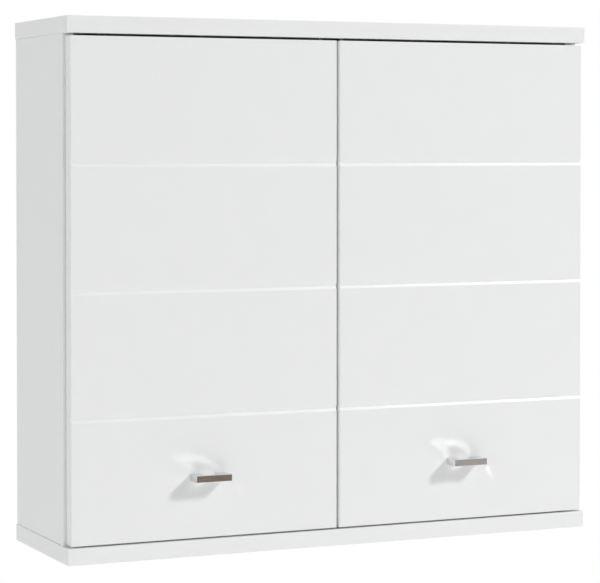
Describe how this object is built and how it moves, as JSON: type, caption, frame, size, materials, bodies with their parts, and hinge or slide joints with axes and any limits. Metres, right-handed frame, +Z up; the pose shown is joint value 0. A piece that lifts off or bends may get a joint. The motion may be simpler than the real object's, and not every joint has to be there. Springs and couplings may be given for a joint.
{
  "type": "hanging wall cabinet",
  "caption": "White hanging wall cabinet: two grooved doors with small chrome bow handles between a top and a bottom board that run past them, on adjustable hangers.",
  "frame": {"origin": "on the wall, in the middle of the four screw holes of the two wall plates", "axes": "+X to the right seen from the front, +Y into the wall, +Z up"},
  "size_m": [0.695, 0.2215, 0.64],
  "materials": {
    "white_lacquer": "satin white lacquer on fibreboard",
    "white_hardboard": "white-faced hardboard",
    "chrome": "polished chrome plate",
    "nickel_steel": "nickel-plated pressed steel",
    "galvanised_steel": "zinc-plated sheet steel",
    "zinc_alloy": "raw die-cast zinc",
    "white_plastic": "moulded white plastic",
    "beech": "plain fluted beech",
    "clear_rubber": "clear soft polyurethane"
  },
  "bodies": {
    "carcass": {"top_board": "white_lacquer", "bottom_board": "white_lacquer", "left_side_board": "white_lacquer", "right_side_board": "white_lacquer", "back_panel": "white_hardboard", "upper_shelf": "white_lacquer", "lower_shelf": "white_lacquer", "shelf_pins": "nickel_steel", "cam_bolts": "galvanised_steel", "cam_locks": "zinc_alloy", "cam_caps": "white_plastic", "wood_dowels": "beech", "door_stop_pins": "white_plastic", "left_hanger_housing": "white_plastic", "left_hanger_hook": "galvanised_steel", "left_hanger_screws": "nickel_steel", "left_hanger_cover": "white_plastic", "right_hanger_housing": "white_plastic", "right_hanger_hook": "galvanised_steel", "right_hanger_screws": "nickel_steel", "right_hanger_cover": "white_plastic", "left_wall_plate": "galvanised_steel", "right_wall_plate": "galvanised_steel", "left_upper_hinge_plate": "nickel_steel", "left_lower_hinge_plate": "nickel_steel", "right_upper_hinge_plate": "nickel_steel", "right_lower_hinge_plate": "nickel_steel", "left_upper_hinge_arm": "nickel_steel", "left_lower_hinge_arm": "nickel_steel", "right_upper_hinge_arm": "nickel_steel", "right_lower_hinge_arm": "nickel_steel", "hinge_plate_screws": "nickel_steel", "hinge_arm_screws": "nickel_steel"},
    "left_door": {"left_door_board": "white_lacquer", "left_handle": "chrome", "left_handle_screws": "nickel_steel", "left_upper_hinge_cup": "nickel_steel", "left_lower_hinge_cup": "nickel_steel", "left_hinge_pins": "nickel_steel", "left_cup_screws": "nickel_steel", "left_bumper": "clear_rubber"},
    "right_door": {"right_door_board": "white_lacquer", "right_handle": "chrome", "right_handle_screws": "nickel_steel", "right_upper_hinge_cup": "nickel_steel", "right_lower_hinge_cup": "nickel_steel", "right_hinge_pins": "nickel_steel", "right_cup_screws": "nickel_steel", "right_bumper": "clear_rubber"}
  },
  "joints": [
    {"name": "left_door_hinge", "type": "hinge", "parent": "carcass", "child": "left_door", "pos_m": [-0.336, -0.1895, -0.2405], "axis": [0, 0, -1], "range_deg": [0, 105]},
    {"name": "right_door_hinge", "type": "hinge", "parent": "carcass", "child": "right_door", "pos_m": [0.336, -0.1895, -0.2405], "axis": [0, 0, 1], "range_deg": [0, 105]}
  ]
}
